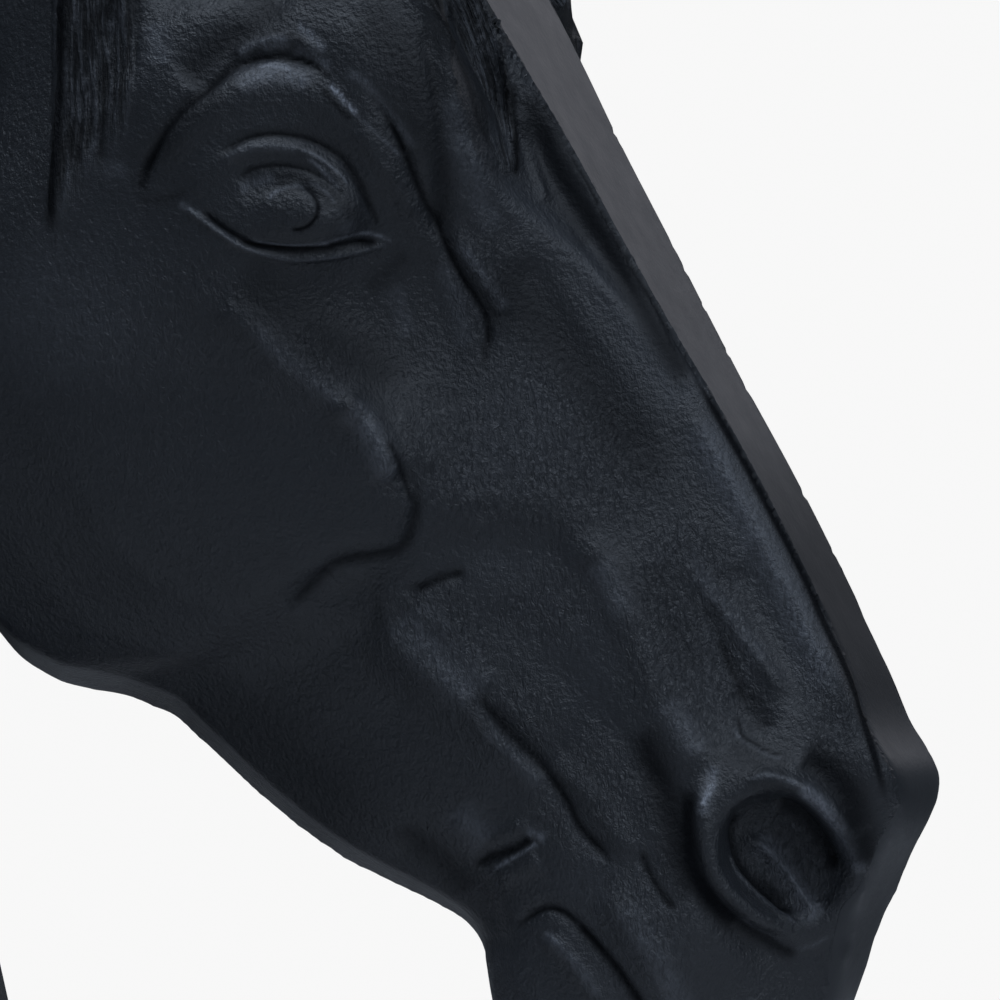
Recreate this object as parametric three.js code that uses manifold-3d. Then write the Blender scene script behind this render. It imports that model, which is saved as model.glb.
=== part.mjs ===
// A horse's head and neck, cast in one piece as a bust and cut flat below.
// Millimetres, +Z up. The nose points along +X and the origin is the middle of the flat underside.
import * as THREE from 'three';
import { mergeVertices } from 'three/addons/utils/BufferGeometryUtils.js';
import Module from 'manifold-3d';

const wasm = await Module();
wasm.setup();

// Driving sizes
const headLength = 313;       // poll to lips, along the face
const faceSlope = 61;         // degrees that the face line drops below level
const faceStart = { x: 141.9, z: 338.5 };   // where the face line passes over the poll
const earLength = 78;
const earWidth = 31;
const earWall = 3;
const footBevel = 2.5;        // small bevel round the flat underside
const maneLocks = 10;

// Every drawn size below is for a head of this length, and grows with headLength.
const drawnHeadLength = 313;
const scale = headLength / drawnHeadLength;

const headRows = 49;
const neckRows = 15;
const neckColumns = 28;
const radians = THREE.MathUtils.degToRad;
const dropCos = Math.cos(radians(faceSlope));
const dropSin = Math.sin(radians(faceSlope));

// A smooth curve of one size against station, through [station, size] knots, that never overshoots them
function profile(...knots) {
  const slopes = knots.map((knot, i) => {
    if (i === 0 || i === knots.length - 1) return 0;
    const before = (knot[1] - knots[i - 1][1]) / (knot[0] - knots[i - 1][0]);
    const after = (knots[i + 1][1] - knot[1]) / (knots[i + 1][0] - knot[0]);
    return before * after > 0 ? 2 * before * after / (before + after) : 0;
  });
  slopes[0] = (knots[1][1] - knots[0][1]) / (knots[1][0] - knots[0][0]);
  const last = knots.length - 1;
  slopes[last] = (knots[last][1] - knots[last - 1][1]) / (knots[last][0] - knots[last - 1][0]);
  return (station) => {
    const s = THREE.MathUtils.clamp(station, knots[0][0], knots[last][0]);
    let i = 0;
    while (i < last - 1 && s > knots[i + 1][0]) i += 1;
    const width = knots[i + 1][0] - knots[i][0];
    const f = (s - knots[i][0]) / width;
    const rest = 1 - f;
    return knots[i][1] * (1 + 2 * f) * rest * rest + slopes[i] * width * f * rest * rest
      + knots[i + 1][1] * (3 - 2 * f) * f * f - slopes[i + 1] * width * f * f * rest;
  };
}

// Head profiles. Stations run from the poll (0) to the lips (313) along the face.
// Levels are measured from the face line, and halves from the middle plane.
const pollEnd = -16;
const lipEnd = 313;
const topLine = profile([-16, -48], [-10, -38], [0, -29], [14, -17], [34, -8], [62, -2], [95, 0.4],
  [165, 0.5], [205, 1.2], [240, 0.4], [250, -0.1], [259, -2], [266, -1.2], [272, -0.6], [276, -3],
  [280, -8], [286, -18], [294, -27], [302, -34.5], [308, -42], [311.5, -49], [313, -57]);
const underLine = profile([-16, -52], [-10, -68], [0, -82], [40, -96], [70, -110], [82, -126],
  [95, -146], [110, -156], [130, -160], [150, -159], [163, -156.5], [171, -150], [178, -140.5],
  [186, -133.8], [194, -131], [213, -124], [228, -116.5], [241, -107], [249, -101], [255, -98.7],
  [262, -100], [270, -103.3], [279, -103.8], [288, -100], [295, -91.5], [299, -81], [304, -75],
  [309, -69], [313, -58]);
const frontHalf = profile([-16, 5], [0, 14], [30, 22], [60, 25], [80, 24], [95, 22.5], [110, 21],
  [132, 17.6], [151, 16.8], [163, 15.8], [174, 14.8], [184, 13.6], [234, 13], [246, 13.7], [256, 15.3],
  [266, 17.5], [272, 17], [276, 14], [280, 11.5], [286, 10.5], [304, 8.5], [313, 2]);
const bevelDrop = profile([-16, 1], [60, 3], [90, 6], [120, 8], [145, 6.5], [175, 2.5], [190, 1.6],
  [313, 1.6]);
const shoulderHalf = profile([-16, 5.5], [0, 19], [30, 29], [60, 39], [85, 46.5], [100, 48], [112, 44],
  [125, 36.5], [140, 29], [160, 23.5], [190, 20], [225, 19], [250, 20.5], [262, 21.5], [270, 19.5],
  [278, 15], [286, 13], [302, 10.5], [313, 2.5]);
const shoulderDrop = profile([-16, 4], [40, 7], [70, 4.5], [103, 3.5], [118, 11], [130, 15],
  [150, 13.5], [180, 11], [225, 9], [270, 7], [290, 6], [313, 3]);
const browHalf = profile([-16, 7], [0, 24], [30, 36], [60, 46], [82, 52], [98, 53], [112, 48.5],
  [130, 40], [150, 33], [190, 26.5], [225, 23.5], [250, 26], [262, 28.5], [270, 26], [278, 22.5],
  [286, 18.5], [292, 16.5], [302, 13.5], [309, 10], [313, 3]);
const crestHalf = profile([-16, 7], [0, 27], [30, 41], [60, 52], [85, 57], [115, 55.5], [135, 51],
  [160, 44.5], [185, 37.5], [215, 31], [240, 30], [262, 32.5], [276, 31], [290, 26], [302, 20],
  [309, 14], [313, 3]);
const jowlHalf = profile([-16, 6], [0, 25], [30, 39], [60, 50], [90, 54], [120, 52.5], [150, 47],
  [175, 38], [190, 32.5], [215, 28], [240, 28], [262, 30], [280, 28.5], [292, 24], [302, 18], [309, 12],
  [313, 3]);
const jawHalf = profile([-16, 4], [0, 17], [30, 29], [60, 39], [90, 43.5], [120, 41], [145, 34],
  [165, 27], [185, 21], [210, 17], [240, 16], [256, 18], [272, 20], [286, 17], [298, 12], [309, 9],
  [313, 2]);

// Half of one head section, from the middle of the face round to the middle of the underside
function halfSection(station) {
  const top = topLine(station);
  const depth = top - underLine(station);
  const front = frontHalf(station);
  const channel = 0.012 * depth;
  return [
    [0, top],
    [0.95 * front, top - 0.2],
    [front + 0.8, top - 1.2],
    [front + 2.4, top - 1.2 - bevelDrop(station)],
    [shoulderHalf(station), top - 0.8 - Math.max(bevelDrop(station), shoulderDrop(station))],
    [browHalf(station), top - 0.2 * depth],
    [crestHalf(station), top - 0.42 * depth],
    [jowlHalf(station), top - 0.71 * depth],
    [jawHalf(station), top - 0.93 * depth],
    [0, top - depth + channel],
  ];
}

// Columns between one line of the section and the next, so that the rows of faces follow those lines
const columnsPerBand = [1, 1, 1, 2, 3, 5, 5, 2, 1];
const sideColumns = columnsPerBand.reduce((sum, n) => sum + n, 0);
const headColumns = 2 * sideColumns;

function sectionPoint(station, column) {
  const half = halfSection(station);
  const mirrored = half.slice(1, -1).reverse().map(([w, v]) => [-w, v]);
  const ring = [...half, ...mirrored].map(([w, v]) => new THREE.Vector3(w, v, 0));
  const curve = new THREE.CatmullRomCurve3(ring, true, 'centripetal');
  const step = column <= sideColumns ? column : headColumns - column;
  let band = 0;
  let passed = 0;
  while (band < columnsPerBand.length - 1 && step > passed + columnsPerBand[band]) {
    passed += columnsPerBand[band];
    band += 1;
  }
  const along = (band + (step - passed) / columnsPerBand[band]) / ring.length;
  const point = curve.getPoint(along);
  return column <= sideColumns ? [point.x, point.y] : [-point.x, point.y];
}

// Stations of the rows, closer together at the eye and the muzzle
const rowSpacing = profile([-16, 5], [60, 6], [90, 3.8], [140, 3.8], [165, 5.2], [235, 5], [258, 3],
  [300, 2.6], [308, 1.7], [313, 1]);
function headStations() {
  const count = 4000;
  const travelled = [0];
  const reach = lipEnd - pollEnd;
  for (let i = 1; i <= count; i += 1) {
    travelled.push(travelled[i - 1] + 1 / rowSpacing(pollEnd + reach * (i - 0.5) / count));
  }
  const stations = [];
  let i = 0;
  for (let row = 0; row <= headRows; row += 1) {
    const goal = travelled[count] * row / headRows;
    while (i < count && travelled[i] < goal) i += 1;
    stations.push(row === headRows ? lipEnd : pollEnd + reach * i / count);
  }
  return stations;
}

// The forms of the face, as heights over the plain head. Each is drawn on the side view: [station, level].
const bell = (x) => Math.exp(-x * x);
function smooth(from, to, x) {
  const f = THREE.MathUtils.clamp((x - from) / (to - from), 0, 1);
  return f * f * (3 - 2 * f);
}

// Distance from a point of the side view to a drawn line, and how far along it the nearest place is
function lineDistance(line, s, v) {
  let nearest = Infinity;
  let share = 0;
  for (let i = 0; i < line.length - 1; i += 1) {
    const [s0, v0] = line[i];
    const [s1, v1] = line[i + 1];
    const length2 = (s1 - s0) ** 2 + (v1 - v0) ** 2;
    const f = THREE.MathUtils.clamp(((s - s0) * (s1 - s0) + (v - v0) * (v1 - v0)) / length2, 0, 1);
    const distance = Math.hypot(s - s0 - f * (s1 - s0), v - v0 - f * (v1 - v0));
    if (distance < nearest) {
      nearest = distance;
      share = (i + f) / (line.length - 1);
    }
  }
  return { nearest, share };
}

function ridge(line, width, height, s, v) {
  const { nearest, share } = lineDistance(line, s, v);
  const fade = smooth(0, 0.12, share) * smooth(0, 0.15, 1 - share);
  return height * bell(nearest / width) * (0.25 + 0.75 * fade);
}

function oval(middle, halfLong, halfShort, tilt, s, v) {
  const c = Math.cos(radians(tilt));
  const d = Math.sin(radians(tilt));
  const along = (s - middle[0]) * c + (v - middle[1]) * d;
  const across = (v - middle[1]) * c - (s - middle[0]) * d;
  return Math.hypot(along / halfLong, across / halfShort);
}

const eye = { middle: [117, -48], halfLong: 25, halfShort: 19, tilt: 51 };
const browRidge = [[88, -68], [80, -55], [79, -42], [86, -28], [98, -21], [114, -19], [132, -22]];
const crestRidge = [[124, -70], [140, -63], [156, -58], [176, -59]];
const cordRidge = [[193, -67], [196, -72], [203, -74], [214, -70.5], [222, -64]];
const cordGroove = [[214, -63], [222, -60], [236, -58], [249, -56.5], [264, -52]];
const liftRidge = [[193, -34], [215, -30], [246, -32], [256, -38]];
const falseNostril = [[226, -20], [240, -21], [254, -22]];
const cheekEdge = profile([-126, 177], [-112, 184], [-88, 186], [-78, 184], [-65, 187], [-58, 183],
  [-50, 168], [-40, 140]);

function faceRelief(s, v, w) {
  const onSide = smooth(16, 24, w);
  const cheekGap = cheekEdge(v) - s;
  const onCheek = smooth(-134, -118, v) * smooth(-48, -62, v);
  let height = 4 * bell(oval(eye.middle, eye.halfLong, eye.halfShort, eye.tilt, s, v));
  height += ridge(browRidge, 6, 3, s, v) - 6 * bell(oval([60, -38], 18, 11, 25, s, v));
  height += ridge(crestRidge, 6, 3, s, v) - 3 * bell(oval([143, -44], 22, 11, 10, s, v));
  height += 4 * onCheek * smooth(-4, 5, cheekGap) * bell(Math.max(cheekGap, 0) / 75);
  height -= onCheek * 1.6 * bell((cheekGap + 6) / 8);
  height += ridge(cordRidge, 5, 3.4, s, v) + ridge(cordGroove, 4, -2, s, v);
  height += ridge(liftRidge, 6.5, 2.6, s, v) - 3.2 * bell(oval([206, -48], 18, 9, -5, s, v));
  height += ridge(falseNostril, 5.5, -3.4, s, v);
  height += 3 * bell(oval([284, -84], 15, 9, 8, s, v)) + 2.4 * bell(oval([284, -55], 17, 9, -4, s, v));
  height += 1.5 * bell(oval([274, -28], 22, 16, -10, s, v));
  return height * onSide;
}

const side = new THREE.Vector3(0, 1, 0);
function fromHead(s, v, w) {
  return new THREE.Vector3(
    faceStart.x + dropCos * s + dropSin * v,
    w,
    faceStart.z - dropSin * s + dropCos * v,
  ).multiplyScalar(scale);
}

// Turns a sphere's vertices into a surface given by its rows and columns
function skin(rows, columns, place) {
  const sphere = new THREE.SphereGeometry(1, columns, rows);
  const spots = sphere.getAttribute('position');
  for (let row = 0; row <= rows; row += 1) {
    for (let column = 0; column <= columns; column += 1) {
      const at = place(row, column % columns);
      spots.setXYZ(row * (columns + 1) + column, at.x, at.y, at.z);
    }
  }
  return sphere;
}

// Six times the volume inside a closed surface, below zero where its faces point in
function signedVolume(spots, corners) {
  const [a, b, c] = [new THREE.Vector3(), new THREE.Vector3(), new THREE.Vector3()];
  let sum = 0;
  for (let i = 0; i < corners.length; i += 3) {
    a.fromArray(spots, 3 * corners[i]);
    b.fromArray(spots, 3 * corners[i + 1]);
    c.fromArray(spots, 3 * corners[i + 2]);
    sum += a.dot(b.cross(c));
  }
  return sum;
}

function solidOf(geometry) {
  geometry.deleteAttribute('normal');
  geometry.deleteAttribute('uv');
  const merged = mergeVertices(geometry, 1e-3);
  const spots = Float32Array.from(merged.getAttribute('position').array);
  const corners = Uint32Array.from(merged.index.array);
  if (signedVolume(spots, corners) < 0) corners.reverse();
  return new wasm.Manifold(new wasm.Mesh({ numProp: 3, vertProperties: spots, triVerts: corners }));
}

function headSolid() {
  const stations = headStations();
  const plain = stations.map((station) => {
    const row = [];
    for (let column = 0; column < headColumns; column += 1) {
      const [w, v] = sectionPoint(station, column);
      row.push([station, v, w]);
    }
    return row;
  });
  const spot = (row, column) => {
    const r = THREE.MathUtils.clamp(row, 0, headRows);
    const [s, v, w] = plain[r][(column + headColumns) % headColumns];
    return new THREE.Vector3(s, v, w);
  };
  const place = (row, column) => {
    const [s, v, w] = plain[row][column];
    if (row === 0 || row === headRows) return fromHead(s, (topLine(s) + underLine(s)) / 2, 0);
    const along = spot(row + 1, column).sub(spot(row - 1, column));
    const round = spot(row, column + 1).sub(spot(row, column - 1));
    const out = round.cross(along).normalize();
    const height = faceRelief(s, v, Math.abs(w));
    return fromHead(s + out.x * height, v + out.y * height, w + out.z * height);
  };
  return solidOf(skin(headRows, headColumns, place));
}

// Neck, in side view: the crest behind and the throat in front, from the underside up into the head
const crestLine = [[-108, 0], [-109, 28], [-105, 78], [-95, 132], [-78, 182], [-52, 228], [-20, 266],
  [18, 296], [56, 316], [90, 325], [117, 324]];
const throatLine = [[94, 0], [87, 26], [77, 62], [69, 102], [66, 142], [69, 180], [78, 212], [90, 238],
  [101, 258], [111, 274], [122, 292]];
const neckHalf = profile([0, 62], [0.1, 59], [0.3, 52], [0.5, 46], [0.7, 41], [0.85, 36], [1, 24]);

function railPoint(rail, share) {
  const points = rail.map(([x, z]) => new THREE.Vector3(x, 0, z));
  return new THREE.CatmullRomCurve3(points, false, 'centripetal').getPoint(share);
}

// A point of the neck: share 0 is the underside, 1 is inside the head; turn 0 is the crest, PI the throat
function neckPoint(share, turn) {
  const crest = railPoint(crestLine, share);
  const throat = railPoint(throatLine, share);
  const middle = crest.clone().lerp(throat, 0.5);
  const reach = crest.clone().sub(throat).multiplyScalar(0.5);
  const fullness = 1 - 0.14 * Math.cos(turn) * smooth(0, 0.25, share);
  return middle.addScaledVector(reach, Math.cos(turn))
    .addScaledVector(side, -neckHalf(share) * Math.sin(turn) * fullness);
}

function neckSolid() {
  const place = (row, column) => {
    const turn = 2 * Math.PI * column / neckColumns;
    if (row === 0) return neckPoint(0, 0).lerp(neckPoint(0, Math.PI), 0.5).multiplyScalar(scale);
    if (row === neckRows) return neckPoint(1, 0).lerp(neckPoint(1, Math.PI), 0.5).multiplyScalar(scale);
    const share = Math.max(0, (row - 2) / (neckRows - 3));
    const spot = neckPoint(share, turn);
    if (row === 1) {
      const middle = neckPoint(0, 0).lerp(neckPoint(0, Math.PI), 0.5);
      spot.lerp(middle, footBevel / neckHalf(0));
    } else if (row === 2) {
      spot.z += footBevel;
    }
    return spot.multiplyScalar(scale);
  };
  return solidOf(skin(neckRows, neckColumns, place));
}

// Half width of the face at a station and level, with its relief
function halfAt(s, v) {
  const points = [];
  for (let column = 0; column <= sideColumns; column += 1) points.push(sectionPoint(s, column));
  let i = 1;
  while (i < points.length - 1 && points[i][1] > v) i += 1;
  const [[w0, v0], [w1, v1]] = [points[i - 1], points[i]];
  const half = w0 + (w1 - w0) * THREE.MathUtils.clamp((v - v0) / (v1 - v0), 0, 1);
  return half + faceRelief(s, v, half);
}

// A place on the face, lifted off the skin, in drawn sizes: hand is -1 on the right side and 1 on the left
function onFace(s, v, lift, hand) {
  return fromHead(s, v, hand * (halfAt(s, v) + lift)).divideScalar(scale);
}

// A tapering roll along a curve, on a surface that faces out: it makes hair, lids and the cut of the mouth
function lockSolid(path, out, halfWidth, halfThick, rings = 6, sides = 5) {
  const curve = new THREE.CatmullRomCurve3(path, false, 'centripetal');
  const place = (row, column) => {
    const along = row / rings;
    const middle = curve.getPoint(along);
    if (row === 0 || row === rings) return middle.multiplyScalar(scale);
    const ahead = curve.getTangent(along);
    const across = ahead.clone().cross(out).normalize();
    const lift = across.clone().cross(ahead).normalize();
    const swell = Math.sin(Math.PI * Math.min(1, along * 1.1 + 0.16)) ** 0.6;
    const turn = 2 * Math.PI * column / sides;
    return middle.addScaledVector(across, halfWidth * swell * Math.cos(turn))
      .addScaledVector(lift, halfThick * swell * Math.sin(turn))
      .multiplyScalar(scale);
  };
  return solidOf(skin(rings, sides, place));
}

// Eyeball and lids. Each line is [station, level, lift off the skin].
const upperLid = [[107, -66, -0.5], [103, -57, 0.8], [103.5, -47, 1.6], [109, -39, 1.4],
  [119, -34, 0.6], [130, -33.5, -0.5]];
const lidDome = [[100, -72, -2], [94, -62, -0.4], [93, -50, 0.6], [97, -39, 0.8], [106, -31, 0.2],
  [120, -27, -1.4], [134, -29, -3]];
const lowerLid = [[108, -66, -1], [118, -61, 0], [126, -54, 0.6], [131, -45, 0.6], [134, -36, -0.5]];
const eyeball = { middle: [117.5, -48.5, -4.2], halfLong: 16, halfOut: 9, halfHigh: 11 };

function eyeSolids(hand) {
  const out = new THREE.Vector3(0.1, hand, 0.1);
  const roll = (line, halfWidth, halfThick, rings) => {
    const path = line.map(([s, v, lift]) => onFace(s, v, lift, hand));
    return lockSolid(path, out, halfWidth, halfThick, rings);
  };
  const middle = onFace(...eyeball.middle, hand);
  const ball = new THREE.SphereGeometry(1, 10, 7)
    .scale(eyeball.halfLong, eyeball.halfOut, eyeball.halfHigh)
    .translate(middle.x, middle.y, middle.z)
    .scale(scale, scale, scale);
  return [solidOf(ball), roll(upperLid, 3, 2.6, 7), roll(lowerLid, 2.4, 2, 6), roll(lidDome, 6.5, 3.4, 8)];
}

// Middle line of the nostril's rim, from its upper end forward and down, as points [station, level, half]
const nostrilRim = [[260, -26, 30.6], [265, -18, 27], [274, -14.5, 21], [281, -16, 15.5], [287, -22.5, 12.4],
  [289.8, -32, 13.6], [285, -37.2, 22.6], [277, -39.7, 30], [268.4, -38.9, 32.4], [261.7, -33.7, 32.5]];
const nostrilRimHalf = 2.6;
const nostrilDepth = 9;

// Lays a unit shape in the nostril: radius 1 comes to the rim line, and its Z points out of the muzzle
function inNostril(shape, radius, depth, lift, hand) {
  const nodes = nostrilRim.map(([s, v, w]) => fromHead(s, v, hand * w));
  const rim = new THREE.CatmullRomCurve3(nodes, true, 'centripetal');
  const middle = nodes.reduce((sum, node) => sum.add(node), new THREE.Vector3()).divideScalar(nodes.length);
  const out = rim.getPoint(0.25).sub(rim.getPoint(0.75)).cross(rim.getPoint(0).sub(rim.getPoint(0.5)));
  out.normalize().multiplyScalar(hand * scale);
  const spots = shape.getAttribute('position');
  for (let i = 0; i < spots.count; i += 1) {
    const [x, y, z] = [spots.getX(i), spots.getY(i), spots.getZ(i)];
    const turn = (Math.atan2(y, x) / (2 * Math.PI) + 1) % 1;
    const at = middle.clone().lerp(rim.getPoint(turn), radius * Math.hypot(x, y))
      .addScaledVector(out, lift + depth * z);
    spots.setXYZ(i, at.x, at.y, at.z);
  }
  return solidOf(shape);
}

const rimSolid = (hand) => inNostril(new THREE.TorusGeometry(1, 0.2, 5, 16), 1, nostrilRimHalf / 0.2, 0, hand);
const nostrilHollow = (hand) => inNostril(new THREE.SphereGeometry(1, 12, 8), 0.88, nostrilDepth, 0, hand);

const mouthLine = [[259, -80, -0.5], [262.5, -74.5, 0], [273.5, -69, 0.3], [287, -67, 0.3],
  [299, -65.5, 0.3], [308, -62, 0]];

function mouthCut(hand) {
  const path = mouthLine.map(([s, v, lift]) => onFace(s, v, lift, hand));
  return lockSolid(path, new THREE.Vector3(0, hand, 0), 1.5, 3.4, 8, 4);
}

function maneSolids() {
  const locks = [];
  for (let i = 0; i < maneLocks; i += 1) {
    const start = 0.25 + 0.71 * i / (maneLocks - 1);
    const reach = 0.86 + 0.14 * Math.sin(2.4 * i);
    const path = [-0.06, 0.2, 0.45, 0.72, 1].map((f) => {
      const share = Math.max(0.01, start - (0.2 + 0.02 * Math.sin(1.7 * i)) * Math.max(0, f) ** 1.3);
      return neckPoint(share, 0.02 + reach * f + 0.08 * Math.sin(5 * f + i));
    });
    locks.push(lockSolid(path, new THREE.Vector3(-0.3, -1, 0.2), 14, 5.5));
  }
  const roll = [0.04, 0.2, 0.4, 0.6, 0.8, 0.97].map((share) => neckPoint(share, -0.1));
  locks.push(lockSolid(roll, new THREE.Vector3(-0.5, 0.8, 0.5), 14, 6, 14));
  return locks;
}

// Locks of the forelock and of the tuft below each ear, as points [station, level, half]
const hairLocks = [
  { line: [[2, -28, 12], [40, -9, 30], [72, -4.5, 41], [101, -4.5, 45.5], [129, -15, 36]], size: [8.5, 5.5],
    facing: [0.8, 0.5, 0.5] },
  { line: [[2, -28, 5], [32, -9, 14], [62, -4, 21], [90, -4.5, 27], [114, -9, 27]], size: [7, 3.6],
    facing: [0.85, 0.3, 0.5] },
  { line: [[22, -42, 33], [48, -58, 50], [66, -68, 55], [94, -90, 56]], size: [8, 4.5], facing: [0, 1, 0.1] },
  { line: [[14, -34, 28], [44, -48, 46], [66, -56, 55], [92, -72, 58]], size: [7, 4], facing: [0, 1, 0.1] },
];

function hairSolids(hand) {
  return hairLocks.map(({ line, size, facing }) => {
    const path = line.map(([s, v, w]) => fromHead(s, v, hand * w).divideScalar(scale));
    return lockSolid(path, new THREE.Vector3(facing[0], hand * facing[1], facing[2]), ...size);
  });
}

// An ear: a pointed leaf, cupped on the side that faces forward and out
const earRoot = [20, -30, 25];
const earRise = [0.13, 0.22, 0.965];
const earFacing = [0.86, 0.5, 0];
const earHalfWidth = profile([0, 0.31], [0.15, 0.37], [0.42, 0.5], [0.7, 0.39], [0.88, 0.21],
  [1, 0.02]);
const earDepth = profile([0, 0.375], [0.2, 0.425], [0.5, 0.4], [0.8, 0.21], [1, 0.02]);
const earSink = 0.12;         // share of the ear's length that is inside the head

function earSolid(hand) {
  const rings = 10;
  const sides = 10;
  const root = fromHead(earRoot[0], earRoot[1], hand * earRoot[2]).divideScalar(scale);
  const rise = new THREE.Vector3(earRise[0], hand * earRise[1], earRise[2]).normalize();
  const facing = new THREE.Vector3(earFacing[0], hand * earFacing[1], earFacing[2]);
  facing.addScaledVector(rise, -facing.dot(rise)).normalize();
  const across = rise.clone().cross(facing).normalize();
  const place = (row, column) => {
    const along = 0.5 - 0.5 * Math.cos(Math.PI * row / rings);
    const spot = root.clone().addScaledVector(rise, earLength * (along * (1 + earSink) - earSink))
      .addScaledVector(facing, 3 * along - 6 * Math.sin(Math.PI * along));
    if (row === 0 || row === rings) return spot.multiplyScalar(scale);
    const turn = 2 * Math.PI * column / sides;
    const wide = earHalfWidth(along) * earWidth;
    const deep = earDepth(along) * earWidth;
    const hollow = smooth(0.14, 0.34, along);
    const front = Math.max(0, Math.sin(turn));
    const back = Math.min(0, Math.sin(turn));
    const bowl = 0.6 * deep * (1 - hollow) - hollow * Math.max(0, deep - earWall);
    const narrow = front > 0.05 ? Math.max(0.1, 1 - hollow * earWall / Math.max(wide, earWall)) : 1;
    return spot.addScaledVector(across, wide * narrow * Math.cos(turn))
      .addScaledVector(facing, front * bowl + back * deep)
      .multiplyScalar(scale);
  };
  return solidOf(skin(rings, sides, place));
}

// Everything joins in one casting, cut flat below
function castSolid() {
  const pieces = [neckSolid(), ...maneSolids()];
  for (const hand of [-1, 1]) {
    pieces.push(...hairSolids(hand), earSolid(hand), ...eyeSolids(hand), rimSolid(hand));
  }
  const cast = pieces.reduce((whole, piece) => whole.add(piece), headSolid());
  const reach = 4 * headLength;
  const below = new THREE.BoxGeometry(reach, reach, reach).translate(0, 0, -reach / 2);
  const cuts = [solidOf(below)];
  for (const hand of [-1, 1]) cuts.push(nostrilHollow(hand), mouthCut(hand));
  return cuts.reduce((whole, piece) => whole.subtract(piece), cast);
}

function geometryOf(solid) {
  const mesh = solid.getMesh();
  const geometry = new THREE.BufferGeometry();
  geometry.setAttribute('position', new THREE.BufferAttribute(mesh.vertProperties, 3));
  geometry.setIndex(new THREE.BufferAttribute(mesh.triVerts, 1));
  return geometry;
}

const blackResin = new THREE.MeshStandardMaterial({ color: 0x1e2125, roughness: 0.5, metalness: 0 });
const horseHead = new THREE.Mesh(geometryOf(castSolid()), blackResin);
horseHead.name = 'horse_head';

const bust = new THREE.Group();
bust.add(horseHead);

export default bust;
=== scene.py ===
import math

import bmesh
import bpy
import numpy as np
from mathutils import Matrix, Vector


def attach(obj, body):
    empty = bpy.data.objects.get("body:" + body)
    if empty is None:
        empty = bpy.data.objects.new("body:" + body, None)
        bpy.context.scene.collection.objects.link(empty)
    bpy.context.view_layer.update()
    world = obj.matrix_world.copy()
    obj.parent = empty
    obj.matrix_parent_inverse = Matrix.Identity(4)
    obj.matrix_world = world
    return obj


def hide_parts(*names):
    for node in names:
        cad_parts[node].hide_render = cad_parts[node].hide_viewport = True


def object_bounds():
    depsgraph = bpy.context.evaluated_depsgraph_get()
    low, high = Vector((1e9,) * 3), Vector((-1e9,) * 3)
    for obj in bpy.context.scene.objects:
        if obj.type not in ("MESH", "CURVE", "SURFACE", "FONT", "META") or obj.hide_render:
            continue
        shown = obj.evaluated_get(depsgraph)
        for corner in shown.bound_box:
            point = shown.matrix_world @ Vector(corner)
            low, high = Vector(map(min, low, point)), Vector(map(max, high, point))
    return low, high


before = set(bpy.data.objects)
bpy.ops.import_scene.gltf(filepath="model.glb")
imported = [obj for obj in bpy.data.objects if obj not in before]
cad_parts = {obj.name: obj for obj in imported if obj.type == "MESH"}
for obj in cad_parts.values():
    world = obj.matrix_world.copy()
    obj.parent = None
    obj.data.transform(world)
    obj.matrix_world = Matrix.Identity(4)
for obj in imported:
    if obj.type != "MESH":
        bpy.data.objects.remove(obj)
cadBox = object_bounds()
print("frame: loaded")

# The camera looks level at the near side of the head, from a little in front of it
view = {
    "azimuth": math.radians(17),
    "distance": 5.0,
    "seen": 0.2,                      # metres across the picture, at the aim
    "aim": (0.1846, 0.0, 0.155),
}
toCamera = Vector((math.sin(view["azimuth"]), -math.cos(view["azimuth"]), 0))
cameraData = bpy.data.cameras.new("studioCamera")
cameraData.sensor_width = 36
cameraData.lens = 36 * view["distance"] / view["seen"]
cameraData.clip_start = 0.05
cameraData.clip_end = 60
camera = bpy.data.objects.new("studioCamera", cameraData)
camera.location = Vector(view["aim"]) + toCamera * view["distance"]
camera.rotation_mode = "QUATERNION"
camera.rotation_quaternion = (-toCamera).to_track_quat("-Z", "Y")
bpy.context.scene.collection.objects.link(camera)
bpy.context.scene.camera = camera


# From 0 at low to 1 at high, without a corner
def smooth(low, high, x):
    f = np.clip((x - low) / (high - low), 0, 1)
    return f * f * (3 - 2 * f)


# A smooth curve through the knots that never overshoots them
def profile(*knots):
    spots = np.array([k[0] for k in knots], float)
    sizes = np.array([k[1] for k in knots], float)
    rise = np.diff(sizes) / np.diff(spots)
    slopes = np.zeros(len(spots))
    same = np.flatnonzero(rise[:-1] * rise[1:] > 0)
    slopes[same + 1] = 2 * rise[same] * rise[same + 1] / (rise[same] + rise[same + 1])
    slopes[0], slopes[-1] = rise[0], rise[-1]

    def sizeAt(x):
        x = np.clip(x, spots[0], spots[-1])
        i = np.clip(np.searchsorted(spots, x) - 1, 0, len(spots) - 2)
        width = spots[i + 1] - spots[i]
        f = (x - spots[i]) / width
        rest = 1 - f
        return (sizes[i] * (1 + 2 * f) * rest * rest + slopes[i] * width * f * rest * rest
                + sizes[i + 1] * (3 - 2 * f) * f * f - slopes[i + 1] * width * f * f * rest)

    return sizeAt


# The head's own axes: station along the face from the poll, level above the face line, half across
head = {
    "start": (141.9, 338.5),
    "slope": math.radians(61),
    "topLine": profile((-16, -48), (-10, -38), (0, -29), (14, -17), (34, -8), (62, -2), (95, 0.4),
                       (165, 0.5), (205, 1.2), (240, 0.3), (250, -0.5), (259, -1.7), (266, -1.4),
                       (272, -1.2), (276, -3), (280, -8), (286, -18), (294, -27), (302, -34.5)),
    "frontHalf": profile((-16, 5), (0, 14), (30, 22), (60, 25), (80, 24), (95, 22.5), (110, 21),
                         (132, 17.6), (151, 16.8), (163, 15.8), (174, 14.8), (184, 13.6), (234, 13),
                         (246, 13.7), (256, 15.3), (266, 17.5), (272, 17), (276, 14)),
}


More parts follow.
